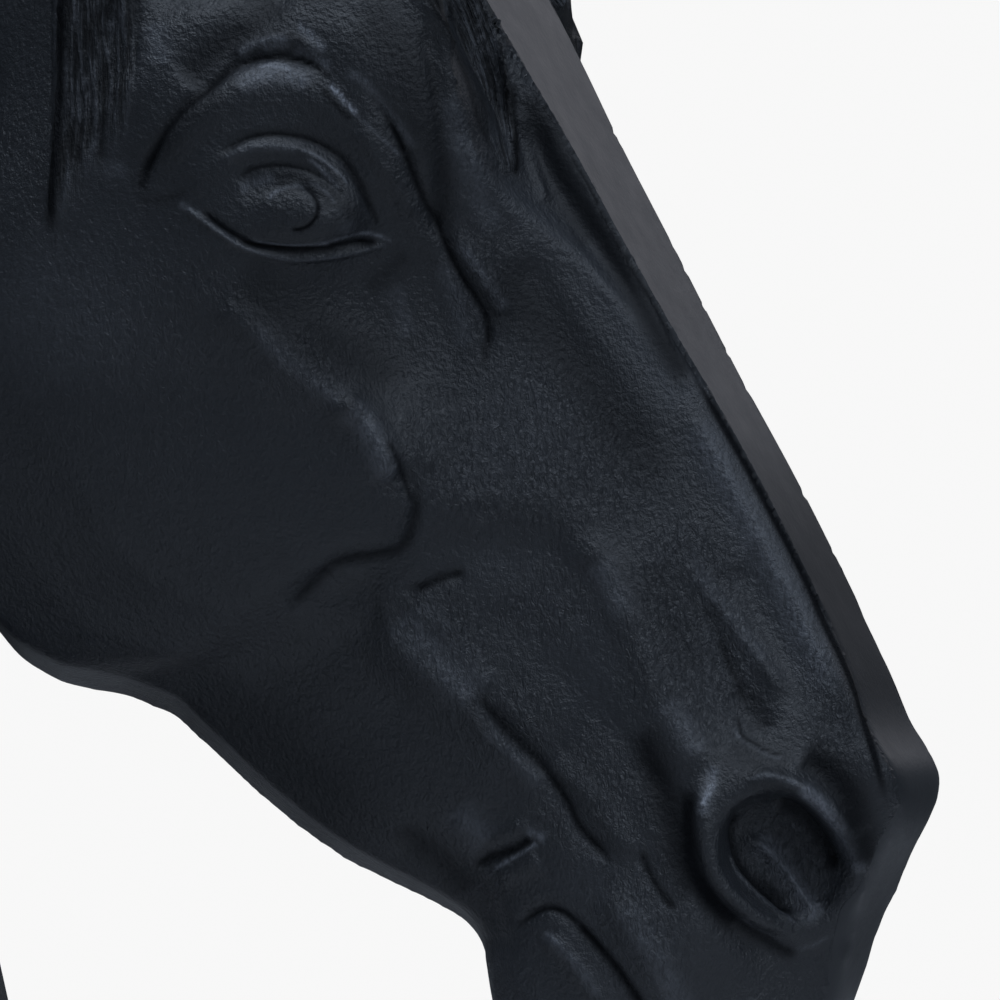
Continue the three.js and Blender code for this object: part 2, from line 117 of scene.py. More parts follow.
def headPlaces(points):
    across = points[:, 0] - head["start"][0]
    down = head["start"][1] - points[:, 2]
    c, s = math.cos(head["slope"]), math.sin(head["slope"])
    return c * across + s * down, s * across - c * down, np.abs(points[:, 1])


def fromHead(station, level, half, hand):
    c, s = math.cos(head["slope"]), math.sin(head["slope"])
    return np.stack([head["start"][0] + c * station + s * level, hand * half,
                     head["start"][1] - s * station + c * level], 1)


# Places in the side drawing, 1000 points wide and as the camera sees the head; both sides share it
def drawingPlaces(points):
    c, s = math.cos(view["azimuth"]), math.sin(view["azimuth"])
    aim = 1000 * np.array(view["aim"])
    x = points[:, 0] - aim[0]
    y = -np.abs(points[:, 1])
    far = 1000 * view["distance"]
    size = far / (far - s * x + c * y) / view["seen"]
    return np.stack([500 + (c * x + s * y) * size, 500 - (points[:, 2] - aim[2]) * size], 1)


# A rounded line through the points
def softLine(points, steps=6):
    p = np.array(points, float)
    p = np.vstack([2 * p[0] - p[1], p, 2 * p[-1] - p[-2]])
    f = (np.arange(steps) / steps)[:, None]
    parts = []
    for a, b, c, d in zip(p[:-3], p[1:-2], p[2:-1], p[3:]):
        bend = (2 * a - 5 * b + 4 * c - d) * f ** 2 + (3 * b - a - 3 * c + d) * f ** 3
        parts.append(0.5 * (2 * b + (c - a) * f + bend))
    return np.vstack([*parts, p[-2:-1]])


# Distance from a line, the share of its length that is passed, and the side of it
def alongLine(places, line):
    best = np.full(len(places), 1e9)
    share = np.zeros(len(places))
    hand = np.ones(len(places))
    lengths = np.linalg.norm(np.diff(line, axis=0), axis=1)
    passed = np.concatenate([[0], np.cumsum(lengths)])
    for k, (a, b) in enumerate(zip(line[:-1], line[1:])):
        run = b - a
        f = np.clip(((places - a) @ run) / max(run @ run, 1e-9), 0, 1)
        off = places - a - f[:, None] * run
        distance = np.hypot(off[:, 0], off[:, 1])
        nearer = distance < best
        best = np.where(nearer, distance, best)
        share = np.where(nearer, (passed[k] + f * lengths[k]) / passed[-1], share)
        hand = np.where(nearer, np.sign(run[0] * off[:, 1] - run[1] * off[:, 0]), hand)
    return best, share, hand


tool = {
    "reach": 3.2,                     # in widths, where a stroke no longer shows
    "creaseEdge": 1.25,               # the lower, the sharper its bottom
    "stepEdge": 1.5,
    "stepWall": 0.16,                 # in widths, the steep side of a step
    "fade": (0.12, 0.45),             # share of the length that fades in and out, by width
    "fadeWidth": 200,
    "facing": (0.12, 0.45),           # how much the skin faces sideways where the carving starts
    "besides": (4, 10),               # mm from the middle of the head where it starts
}


# How strongly a stroke touches each place, from 0 to 1
def stroke(places, kind, width, points):
    line = softLine(points)
    reach = tool["reach"] * width
    near = np.flatnonzero(np.all((places > line.min(0) - reach) & (places < line.max(0) + reach), 1))
    touch = np.zeros(len(places))
    if len(near) == 0:
        return touch
    distance, share, hand = alongLine(places[near], line)
    if kind == "crease":
        amount = np.exp(-(distance / width) ** tool["creaseEdge"])
    elif kind == "step":
        side = distance * -hand
        gentle = np.exp(-(np.abs(side) / width) ** tool["stepEdge"])
        amount = np.where(side > 0, gentle, np.exp(-(side / (tool["stepWall"] * width)) ** 2))
    else:
        amount = np.exp(-(distance / width) ** 2)
    fade = np.clip(width / tool["fadeWidth"], *tool["fade"])
    touch[near] = amount * smooth(0, fade, share) * smooth(0, fade, 1 - share)
    return touch


# A low oval mound, tilted by an angle in degrees
def mound(places, middle, radii, tilt, height, power=2.0):
    c, s = math.cos(math.radians(tilt)), math.sin(math.radians(tilt))
    x, y = places[:, 0] - middle[0], places[:, 1] - middle[1]
    r = np.hypot((c * x + s * y) / radii[0], (c * y - s * x) / radii[1])
    return height * np.exp(-r ** power)


# What is carved on each side of the head, as (kind, width, height in mm, points). A ridge is round, a
# groove a round hollow, a crease a sharp one, and a step drops away on the right of its direction.
# Shade and shine only paint shade or highlights into the colour, and their number is a share
carving = {
    "eye": [
        ("crease", 6, 1.7, [(143, 192), (146, 170), (151, 156), (165, 130), (181, 109), (200, 92),
                            (216, 79), (230, 68), (246, 61), (262, 57), (281, 56), (300, 60), (315, 66),
                            (330, 76)]),
        ("shade", 5.2, 0.94, [(140, 200), (145, 170), (152, 156), (168, 130), (186, 108), (206, 90),
                              (228, 68), (244, 60)]),
        ("shade", 2.2, 0.77, [(225, 70), (246, 61), (262, 57), (281, 56), (300, 60), (315, 66),
                              (333, 79)]),
        ("ridge", 19, 1.0, [(160, 168), (182, 134), (212, 106), (246, 86), (280, 80), (314, 92),
                            (345, 122), (370, 160), (392, 205)]),
        ("shine", 9, 0.8, [(236, 88), (250, 80), (268, 75), (284, 75), (300, 79), (312, 86)]),
        ("shine", 4, 1.6, [(258, 70), (274, 66), (292, 71)]),
        ("shine", 1.9, 4.0, [(328, 83), (336, 91), (346, 102), (358, 115)]),
        ("shine", 1.6, 0.45, [(350, 108), (368, 124), (385, 141), (402, 158)]),
        ("shade", 2.8, 0.68, [(322, 88), (330, 97), (342, 110), (352, 120)]),
        ("ridge", 8, 0.9, [(232, 58), (246, 48), (262, 42), (280, 38), (296, 41), (312, 50), (322, 60)]),
        ("shine", 4, 0.8, [(236, 56), (248, 47), (262, 42), (278, 39), (292, 42)]),
        ("shine", 4, 0.7, [(262, 48), (276, 45), (290, 45)]),
        ("shine", 4, 0.9, [(296, 26), (308, 32), (318, 44), (326, 52)]),
        ("shine", 4, 0.8, [(292, 52), (308, 55), (322, 62), (330, 70)]),
        ("shade", 2.1, 0.51, [(258, 36), (275, 32), (292, 35), (306, 43)]),
        ("groove", 19, 1.8, [(292, -24), (264, 10), (238, 33), (211, 57), (182, 86)]),
        ("shade", 17, 0.42, [(280, -10), (258, 16), (232, 36), (208, 58), (180, 85)]),
        ("crease", 6, 1.5, [(356, 80), (372, 98), (386, 118), (397, 138), (406, 157), (415, 180),
                            (426, 204), (437, 222), (446, 244), (462, 276), (478, 300), (487, 320),
                            (488, 342), (481, 372)]),
        ("shade", 3.1, 0.85, [(378, 106), (388, 122), (397, 138), (406, 157), (415, 180), (426, 204),
                              (437, 222), (446, 244), (462, 276), (478, 300), (487, 320), (488, 344),
                              (481, 376)]),
        ("shine", 4.5, 0.7, [(344, 70), (362, 80), (374, 94), (388, 112), (402, 130), (414, 152)]),
        ("ridge", 11, 0.8, [(358, 122), (378, 152), (396, 186), (412, 220)]),
        ("ridge", 9, 1.2, [(452, 232), (466, 250), (484, 276), (500, 300), (507, 318)]),
        ("shine", 5.5, 0.8, [(455, 240), (468, 258), (484, 280), (500, 303), (508, 314)]),
        ("shine", 8, 0.35, [(440, 262), (452, 290), (462, 322), (466, 350)]),
        ("crease", 5, 1.1, [(214, 160), (226, 148), (248, 138), (275, 134), (300, 137), (322, 145),
                            (341, 158), (353, 173), (363, 190), (371, 206), (378, 226)]),
        ("shade", 2.6, 0.51, [(216, 156), (248, 138), (275, 134), (300, 137), (322, 145), (341, 158),
                              (353, 173)]),
        ("shade", 3.4, 0.72, [(341, 158), (353, 173), (363, 190), (371, 206), (379, 228)]),
        ("ridge", 6, 0.5, [(222, 164), (236, 153), (252, 148), (268, 147), (286, 148), (306, 153),
                           (324, 163), (338, 175), (350, 190)]),
        ("shine", 4.2, 0.3, [(222, 162), (234, 154), (250, 148), (266, 147), (284, 148), (302, 150)]),
        ("shine", 1.6, 0.7, [(298, 148), (314, 155), (328, 165), (340, 176), (350, 188)]),
        ("shine", 1.8, 0.8, [(306, 158), (318, 166), (332, 180), (342, 190)]),
        ("crease", 3.6, 0.7, [(236, 182), (248, 172), (265, 167), (286, 166), (310, 171), (330, 182),
                              (346, 200)]),
        ("shade", 2.1, 0.51, [(238, 180), (250, 171), (265, 167), (286, 166), (310, 171), (328, 181)]),
        ("groove", 12, 0.7, [(236, 192), (264, 184), (296, 182), (322, 192), (340, 212)]),
        ("shade", 12, 0.35, [(272, 184), (300, 180), (322, 188), (342, 206), (350, 226)]),
        ("shade", 13, 0.3, [(156, 158), (178, 126), (203, 104), (228, 90)]),
        ("shine", 5, 0.5, [(238, 190), (249, 185), (261, 181), (275, 176)]),
        ("shine", 2.4, 0.9, [(268, 201), (275, 192), (285, 187), (298, 184), (310, 188)]),
        ("crease", 3, 0.7, [(294, 184), (308, 188), (317, 199), (318, 212), (312, 223), (300, 229),
                            (288, 230)]),
        ("shade", 2.1, 0.94, [(298, 184), (309, 189), (317, 200), (318, 212), (312, 223), (302, 229),
                              (288, 230)]),
        ("shine", 2, 0.9, [(308, 180), (320, 186), (330, 194), (337, 204)]),
        ("shine", 8, 0.3, [(336, 205), (346, 220), (350, 236)]),
        ("ridge", 3.4, 0.6, [(178, 203), (190, 212), (205, 222), (220, 233), (235, 243), (250, 250),
                             (270, 256), (292, 259), (320, 258), (346, 254), (370, 248), (398, 243)]),
        ("shine", 2.0, 0.35, [(182, 206), (192, 213), (205, 222), (220, 233), (235, 243), (250, 250),
                              (270, 256), (292, 259), (320, 258), (346, 254), (370, 248), (396, 243)]),
        ("shine", 3.4, 0.6, [(178, 203), (188, 208), (202, 216)]),
        ("crease", 3.4, 1.5, [(196, 208), (220, 226), (248, 243), (272, 248), (300, 251), (330, 251),
                              (350, 247), (364, 244), (382, 243)]),
        ("shade", 2.4, 0.77, [(236, 240), (248, 244), (272, 249), (300, 252), (330, 251), (345, 248)]),
        ("shade", 4.3, 0.85, [(326, 248), (344, 244), (360, 242), (378, 243)]),
        ("shine", 1.9, 1.0, [(244, 238), (258, 242), (276, 245), (300, 246), (326, 243), (346, 237),
                             (364, 233), (380, 236), (396, 243)]),
        ("shade", 9, 0.25, [(366, 292), (384, 275), (408, 252)]),
        ("shine", 7, 0.35, [(98, 172), (112, 168), (126, 172)]),
        ("shade", 4.3, 0.3, [(140, 192), (150, 200), (168, 198), (190, 190)]),
    ],
    "brow": [
        ("shade", 30, 0.3, [(352, 10), (392, 40), (420, 90), (432, 150)]),
        ("groove", 12, 1.5, [(424, 20), (436, 70), (442, 120), (444, 165), (441, 210), (434, 245)]),
        ("shade", 14, 0.25, [(400, 40), (415, 80), (428, 120), (436, 165)]),
        ("shade", 9, 0.43, [(424, 40), (436, 90), (442, 135), (443, 175), (440, 215), (434, 240)]),
        ("ridge", 14, 1.4, [(466, 130), (485, 180), (530, 222), (590, 272), (645, 330), (690, 392)]),
        ("shine", 11, 0.4, [(452, 90), (458, 130), (470, 170), (480, 200), (500, 235)]),
        ("groove", 13, 1.1, [(524, 110), (545, 165), (585, 226), (622, 286), (655, 340), (690, 388)]),
        ("shade", 24, 0.5, [(525, 90), (556, 150), (582, 205), (606, 250)]),
        ("shade", 13, 0.62, [(575, 190), (612, 254), (640, 302), (668, 350), (694, 388)]),
        ("shine", 20, 0.2, [(462, 185), (510, 208), (560, 244), (612, 302), (660, 366), (700, 420)]),
        ("shade", 26, 0.42, [(486, 262), (530, 312), (585, 380), (630, 440), (672, 486)]),
        ("shine", 12, 0.4, [(152, 22), (158, 42), (162, 66)]),
    ],
    "cheek": [
        ("shine", 90, 0.12, [(450, 380), (520, 430), (590, 500)]),
        ("shine", 80, 0.2, [(-40, 250), (40, 290), (110, 350), (130, 420)]),
        ("crease", 8, 1.4, [(285, 612), (306, 594), (337, 566), (375, 558), (400, 550), (412, 531),
                            (417, 506), (409, 481), (392, 452)]),
        ("shade", 4.3, 0.64, [(285, 612), (306, 594), (337, 566), (375, 558), (400, 550), (412, 531),
                              (417, 506), (410, 482)]),
        ("ridge", 15, 1.0, [(215, 300), (260, 338), (300, 372), (335, 398), (358, 425)]),
        ("shine", 8, 0.35, [(252, 322), (270, 345), (292, 366), (322, 388), (345, 404)]),
        ("ridge", 16, 2.0, [(335, 396), (362, 420), (380, 450), (392, 482)]),
        ("shine", 12, 0.55, [(346, 404), (362, 424), (376, 450), (390, 484)]),
        ("shade", 3.4, 0.68, [(384, 440), (396, 460), (408, 486), (414, 506)]),
        ("ridge", 9, 0.6, [(400, 410), (420, 440), (432, 472)]),
        ("shade", 30, 0.36, [(232, 268), (280, 306), (326, 340), (372, 366), (400, 396)]),
        ("shade", 50, 0.22, [(60, 700), (160, 715), (250, 730), (330, 790), (390, 850)]),
        ("shine", 9, 0.3, [(392, 285), (402, 312), (408, 340)]),
        ("crease", 6, 1.3, [(466, 572), (440, 579), (424, 586), (405, 597)]),
        ("shade", 3.9, 0.59, [(464, 573), (446, 578), (430, 584), (414, 591)]),
        ("groove", 22, 0.8, [(420, 540), (480, 548), (540, 545), (570, 540)]),
        ("ridge", 15, 0.5, [(440, 500), (490, 498), (545, 504), (590, 524)]),
        ("groove", 18, 0.6, [(410, 250), (440, 300), (455, 360), (450, 420)]),
        ("groove", 20, 1.4, [(520, 250), (560, 330), (610, 400), (650, 470)]),
    ],
    "nose": [
        ("ridge", 10, 1.2, [(384, 596), (394, 638), (425, 667), (455, 695), (480, 720), (520, 765),
                            (548, 795)]),
        ("ridge", 9, 0.9, [(410, 606), (442, 626), (470, 660), (492, 694)]),
        ("shine", 20, 0.45, [(402, 612), (428, 642), (456, 672), (480, 700)]),
        ("shine", 8, 0.25, [(480, 726), (510, 756), (542, 792)]),
        ("crease", 6, 1.5, [(476, 692), (490, 710), (510, 732), (530, 752), (550, 776), (566, 800),
                            (577, 824), (596, 846), (616, 864)]),
        ("shade", 3.4, 0.77, [(476, 690), (490, 712), (510, 735), (530, 754), (550, 776), (566, 800),
                              (577, 824), (596, 846), (618, 868)]),
        ("ridge", 13, 1.0, [(545, 760), (585, 790), (615, 830), (640, 858)]),
        ("shade", 2.9, 0.77, [(640, 850), (648, 872), (660, 892), (676, 912)]),
        ("crease", 5, 0.8, [(640, 850), (648, 872), (660, 892), (676, 912)]),
        ("ridge", 17, 1.6, [(570, 530), (600, 562), (618, 600), (642, 652), (664, 702), (690, 745),
                            (708, 780)]),
        ("shine", 13, 0.4, [(596, 560), (612, 590), (628, 618)]),
        ("shine", 12, 0.4, [(664, 700), (682, 730), (702, 758)]),
        ("groove", 20, 0.6, [(480, 600), (530, 640), (590, 700), (630, 745), (655, 790)]),
        ("shine", 40, 0.1, [(450, 540), (520, 580), (570, 640), (620, 710)]),
        ("shade", 22, 0.17, [(648, 560), (672, 620), (694, 676)]),
        ("shade", 24, 0.23, [(730, 742), (762, 764), (792, 772)]),
        ("ridge", 9, 1.2, [(682, 556), (704, 585), (733, 622), (762, 662), (788, 698)]),
        ("shine", 9, 0.35, [(690, 566), (712, 596), (738, 630), (766, 668)]),
        ("crease", 8, 0.9, [(704, 606), (720, 642), (734, 674), (746, 698)]),
        ("shade", 4.3, 0.59, [(718, 636), (728, 660), (738, 682), (748, 706)]),
        ("shade", 13, 0.35, [(744, 690), (756, 708), (764, 730)]),
        ("groove", 14, 0.8, [(735, 690), (752, 712), (768, 735)]),
        ("shade", 1.9, 0.68, [(738, 712), (741, 733), (756, 744), (770, 752), (786, 756)]),
        ("shine", 1.8, 0.6, [(734, 722), (740, 738), (756, 748), (772, 757), (786, 758)]),
        ("shade", 3.4, 1.36, [(688, 372), (703, 392), (722, 424), (746, 466), (767, 506), (787, 544),
                              (806, 582), (824, 624), (843, 664), (858, 704), (871, 744), (882, 784),
                              (888, 810)]),
        ("shade", 2.6, 0.77, [(560, 140), (588, 184), (607, 224), (628, 264), (653, 304), (672, 346),
                              (690, 376)]),
        ("ridge", 13, 1.5, [(684, 392), (705, 440), (740, 500), (772, 562), (803, 622), (832, 682),
                            (855, 738)]),
        ("shine", 16, 0.6, [(690, 410), (716, 462), (748, 520), (778, 580), (806, 640), (834, 700)]),
        ("groove", 17, 1.1, [(735, 560), (768, 620), (795, 672), (812, 715)]),
        ("groove", 13, 1.2, [(800, 758), (826, 776), (850, 805), (862, 838)]),
        ("shade", 15, 0.75, [(800, 752), (824, 764), (848, 792), (860, 828), (868, 872)]),
        ("groove", 15, 2.0, [(634, 752), (662, 790), (680, 832), (690, 864), (706, 896), (730, 924),
                             (764, 946), (792, 953)]),
        ("shade", 15, 0.7, [(640, 722), (654, 780), (672, 826), (682, 866), (704, 902)]),
        ("shade", 10, 1.08, [(692, 784), (684, 826), (687, 862), (700, 888), (722, 912), (748, 932)]),
        ("shade", 7, 0.65, [(716, 908), (742, 928), (768, 943), (800, 956)]),
        ("ridge", 9, 1.2, [(706, 772), (702, 802), (704, 842), (714, 880), (744, 912), (782, 932)]),
        ("shine", 6, 0.9, [(714, 764), (712, 780), (706, 798), (702, 818)]),
        ("shine", 2.6, 3.0, [(714, 784), (709, 794), (704, 808)]),
    ],
    "lips": [
        ("shine", 30, 0.14, [(470, 940), (510, 980), (540, 1040)]),
        ("shine", 60, 0.12, [(520, 860), (590, 900), (640, 960), (560, 1010)]),
        ("crease", 4.5, 1.4, [(478, 866), (490, 857), (504, 852), (520, 846), (532, 835)]),
        ("shade", 3.1, 0.85, [(474, 868), (488, 857), (504, 852), (520, 845), (530, 836)]),
        ("shine", 1.9, 1.3, [(492, 870), (508, 861), (524, 851), (540, 841)]),
        ("shine", 4.5, 0.9, [(526, 834), (536, 834), (546, 840)]),
        ("ridge", 11, 0.9, [(455, 815), (475, 836), (498, 838), (530, 824)]),
        ("shine", 17, 0.4, [(455, 806), (470, 826), (488, 845)]),
        ("ridge", 12, 0.9, [(498, 874), (520, 870), (540, 858)]),
        ("crease", 5.5, 1.6, [(513, 932), (528, 916), (545, 908), (562, 913), (578, 927), (597, 947),
                              (617, 972), (638, 1002), (660, 1034)]),
        ("shade", 2.9, 0.59, [(514, 930), (528, 916), (545, 908), (562, 913), (578, 927)]),
        ("shade", 4.3, 0.85, [(570, 920), (584, 933), (600, 951), (618, 973), (638, 1002), (660, 1034)]),
        ("ridge", 9, 1.1, [(545, 935), (566, 952), (590, 982), (610, 1014)]),
        ("shine", 6, 0.5, [(544, 930), (560, 946), (580, 968), (600, 1000)]),
        ("shine", 3, 0.8, [(543, 932), (552, 937), (560, 943)]),
        ("ridge", 15, 1.5, [(604, 892), (632, 925), (655, 960), (676, 1000), (690, 1040)]),
        ("shine", 15, 0.45, [(618, 898), (638, 930), (658, 964), (676, 1000), (690, 1040)]),
        ("groove", 18, 1.3, [(395, 832), (430, 852), (465, 882), (488, 925), (492, 960)]),
        ("shade", 12, 0.38, [(396, 824), (418, 846), (444, 868), (470, 896)]),
    ],
    "nostril": [
        ("ridge", 7, 1.0, [(746, 780), (768, 777), (790, 783), (813, 797), (838, 824), (852, 848),
                           (862, 874)]),
        ("shine", 2.2, 0.7, [(748, 779), (768, 777), (788, 781), (804, 788)]),
        ("shine", 7, 1.3, [(796, 785), (814, 798), (830, 815), (844, 836), (854, 856), (862, 876)]),
        ("crease", 5, 1.4, [(770, 802), (790, 806), (806, 818), (822, 838), (835, 866)]),
        ("shade", 8, 0.68, [(774, 803), (796, 811), (812, 826), (826, 848), (836, 874)]),
        ("crease", 5, 1.6, [(738, 812), (733, 838), (741, 864), (758, 884), (776, 900), (792, 914)]),
        ("shade", 4.3, 0.81, [(738, 808), (732, 832), (738, 858), (754, 880), (774, 898), (796, 918)]),
        ("shade", 7, 0.61, [(750, 878), (768, 890), (786, 905)]),
        ("ridge", 8, 2.0, [(738, 838), (760, 846), (782, 868), (800, 896), (818, 920)]),
        ("shine", 22, 0.22, [(746, 826), (780, 846), (812, 878), (826, 906)]),
        ("shine", 11, 1.1, [(750, 836), (768, 848), (784, 868), (796, 888), (808, 906), (820, 922)]),
        ("shine", 1.8, 1.0, [(723, 828), (723, 846), (730, 864), (741, 879), (756, 894), (772, 906),
                             (786, 917), (798, 927)]),
        ("shine", 1.8, 0.45, [(700, 862), (712, 888), (734, 914), (764, 934), (800, 948), (836, 934)]),
        ("step", 6, 0.8, [(722, 828), (727, 850), (738, 872), (756, 893), (776, 912), (794, 928)]),
    ],
}


# Strands of hair run between the two edges of a lock
def strands(left, right, count, width, depth, seed):
    rng = np.random.default_rng(seed)
    left, right = softLine(left), softLine(right)
    shares = np.linspace(0.06, 0.94, count) + rng.normal(0, 0.012, count)
    rows = np.linspace(0, 1, 9)
    leftRows, rightRows = [
        np.stack([np.interp(rows, np.linspace(0, 1, len(edge)), edge[:, k]) for k in (0, 1)], 1)
        for edge in (left, right)]
    lines = []
    for f in shares:
        wander = 1.2 * np.cumsum(rng.normal(0, 0.4, len(rows)))
        line = leftRows + (rightRows - leftRows) * f + np.stack([wander, np.zeros_like(wander)], 1)
        last = len(rows) - int(rng.integers(0, 3))
        path = [tuple(p) for p in line[:last]]
        lines.append(("crease", width * rng.uniform(0.8, 1.3), depth * rng.uniform(0.6, 1.3), path))
        # painted shade along each strand
        lines.append(("shade", 0.7 * width, rng.uniform(0.2, 0.6), path))
    return lines


hair = {
    "edges": [
        ("step", 14, 1.6, [(62, -20), (62, 40), (61, 90), (57, 140), (52, 190), (49, 232)]),
        ("shade", 4.5, 1.0, [(64, -60), (64, 0), (64, 60), (62, 110), (58, 150), (54, 200), (50, 240)]),
        ("shade", 3, 0.9, [(513, 80), (514, 120), (514, 150), (516, 180)]),
        ("shade", 3, 0.6, [(400, -50), (428, 0), (446, 34), (460, 62), (471, 92), (480, 124), (497, 158)]),
        ("step", 9, 1.3, [(487, -12), (500, 40), (508, 88), (512, 130), (514, 178)]),
        ("step", 9, 1.5, [(504, 172), (490, 150), (479, 118), (470, 82), (450, 40), (424, -10)]),
        ("ridge", 6, 0.9, [(520, 108), (530, 150), (540, 182), (548, 206)]),
    ],
    "strands": [
        strands([(63, -20), (63, 60), (60, 140), (52, 230)], [(84, -20), (86, 60), (84, 130), (76, 200)],
                5, 2.6, 0.9, 3),
        strands([(84, -20), (86, 60), (86, 120), (80, 196)], [(112, -20), (114, 50), (108, 100), (100, 160)],
                6, 2.6, 0.8, 4),
        strands([(112, -20), (114, 40), (112, 80), (106, 150)], [(140, -20), (138, 20), (130, 60), (120, 96)],
                5, 2.6, 0.6, 5),
        strands([(426, -12), (452, 40), (470, 84), (482, 126), (498, 164)],
                [(486, -12), (500, 45), (509, 90), (512, 132), (515, 172)], 9, 2.6, 0.3, 6),
    ],
    "maneReach": (62, 40),            # mm from the crest, where the mane fades in
    "maneOver": (8, -6),              # the same across the crest, since it falls on the near side
    "maneEnd": (0.97, 0.9),
    "maneStrand": 2.2,
    "maneLean": 0.9,
    "crestLength": 520,
    "tuft": ((52, -60), (134, 236)),
    "tuftEnd": (230, 150),
    "tuftStrand": 6.5,
    "lockStrands": 7.5,               # strands across the forelock
}


# From the solid to a fine skin. Boxes are corners in the side drawing, the wiped ones with their rounds
skinSizes = {
    "voxel": 0.0016,
    "earSwell": 0.9,                  # mm, since the ears' edges are thinner than the voxels
    "headAbove": -165,                # the head's own level and station, below and behind which is neck
    "headBefore": 320,
    "picture": ((-60, -40), (2000, 1060)),
    "nearSide": 6,
    "neckFoot": (1, 7),               # where smoothing of the neck fades in, and at its other ends out
    "neckTop": (170, 110),
    "neckBack": (-98, -86),
    "neckFront": (110, 90),
    "earsAbove": (322, 334),
    "earsBeside": (10, 15),
    "relaxRounds": 12,
    "earRounds": 10,
    "neckRounds": 70,
    "wiped": [((140, 30), (425, 290), 20), ((215, 265), (470, 440), 28), ((462, 800), (690, 1010), 20),
              ((340, 395), (440, 520), 12), ((400, 455), (710, 660), 44), ((540, 580), (740, 800), 40),
              ((690, 560), (800, 765), 9), ((700, 770), (880, 960), 8)],
    "coarseShare": 0.108,             # faces kept when the neck and the far side are thinned
    "fine": [((40, -40), (95, 245)), ((130, 20), (515, 345)), ((415, -40), (560, 215)),
             ((340, 390), (490, 625)), ((465, 830), (700, 1010)), ((685, 540), (895, 965)),
             ((480, 660), (640, 880))],
    "finest": [((176, 126), (405, 268)), ((716, 770), (866, 935)), ((500, 895), (600, 960))],
    "farFine": [((176, 126), (405, 268)), ((716, 770), (866, 935))],
}

# The flat front of the face, and the crease that runs along its two edges
crease = {
    "from": 52,
    "to": 266,
    "tip": 272,
    "cuts": (0.0, 0.2, 0.5),          # mm outside the edge; the step drops down to the second
    "depth": 1.7,
    "lip": 0.95,
    "lipSlope": 0.16,
    "crown": 0.15,                    # how much the flat front falls towards its edges
    "reach": 3.4,
    "plane": 4,                       # how far from the top line the skin is still taken as the front
    "fadeIn": 18,                     # lengths along the face over which it starts and ends
    "fadeOut": 8,
    "lipFrom": (150, 190),
    # Painted shade on the low part of the flat front
    "dullShade": 0.36,                     # the low front is darker by this share
    "dullShadeFrom": (186, 232),
    "dullShadeTo": (268, 250),
    "snap": 0.08,                     # points as near as this to a cut are taken as on it
}


def copyMerged(node):
    mesh = node.data.copy()
    bm = bmesh.new()
    bm.from_mesh(mesh)
    bmesh.ops.remove_doubles(bm, verts=bm.verts, dist=1e-6)
    bm.to_mesh(mesh)
    bm.free()
    mesh.materials.clear()
    return mesh


def applied(piece):
    seen = piece.evaluated_get(bpy.context.evaluated_depsgraph_get())
    mesh = bpy.data.meshes.new_from_object(seen)
    piece.modifiers.clear()
    piece.data = mesh
    return mesh


def counted(mesh):
    return f"{len(mesh.vertices)} points, {sum(len(p.vertices) - 2 for p in mesh.polygons)} triangles"


def coordinates(mesh):
    co = np.zeros(3 * len(mesh.vertices))
    mesh.vertices.foreach_get("co", co)
    return 1000 * co.reshape(-1, 3)


def putCoordinates(mesh, points):
    mesh.vertices.foreach_set("co", (points / 1000).astype(np.float32).ravel())
    mesh.update()


def edgeEnds(mesh):
    ends = np.zeros(2 * len(mesh.edges), int)
    mesh.edges.foreach_get("vertices", ends)
    return ends.reshape(-1, 2)


# Smooths by turns inward and outward, so that the form doesn't shrink
def relax(points, ends, rounds, weight=None, inward=0.5, outward=-0.52):
    count = len(points)
    i, j = ends.T
    degree = np.maximum(np.bincount(i, minlength=count) + np.bincount(j, minlength=count), 1)
    weight = np.ones(count) if weight is None else weight
    for _ in range(rounds):
        for factor in (inward, outward):
            total = np.stack([np.bincount(i, points[j, k], count) + np.bincount(j, points[i, k], count)
                              for k in range(3)], 1)
            points = points + (factor * weight)[:, None] * (total / degree[:, None] - points)
    return points


def vertexNormals(mesh):
    normals = np.zeros(3 * len(mesh.vertices))
    mesh.vertices.foreach_get("normal", normals)
    return normals.reshape(-1, 3)


def inBoxes(places, boxes):
    inside = np.zeros(len(places), bool)
    for low, high in boxes:
        inside |= np.all((places > np.array(low)) & (places < np.array(high)), 1)
    return inside


def refine(mesh, chosen):
    bm = bmesh.new()
    bm.from_mesh(mesh)
    bm.edges.ensure_lookup_table()
    edges = [e for e in bm.edges if chosen[e.verts[0].index] and chosen[e.verts[1].index]]
    bmesh.ops.subdivide_edges(bm, edges=edges, cuts=1, use_grid_fill=True)
    bm.to_mesh(mesh)
    bm.free()


def earShare(points):
    above = smooth(*skinSizes["earsAbove"], points[:, 2])
    return above * smooth(*skinSizes["earsBeside"], np.abs(points[:, 1]))


def grownSkin():
    print("skin: remeshing the casting")
    piece = bpy.data.objects.new("castSkin", copyMerged(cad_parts["horse_head"]))
    bpy.context.scene.collection.objects.link(piece)
    points = coordinates(piece.data)
    swell = skinSizes["earSwell"] * earShare(points)
    putCoordinates(piece.data, points + vertexNormals(piece.data) * swell[:, None])
    remesh = piece.modifiers.new("voxels", "REMESH")
    remesh.mode = "VOXEL"
    remesh.voxel_size = skinSizes["voxel"]
    applied(piece)
    print("skin:", counted(piece.data))
    return piece


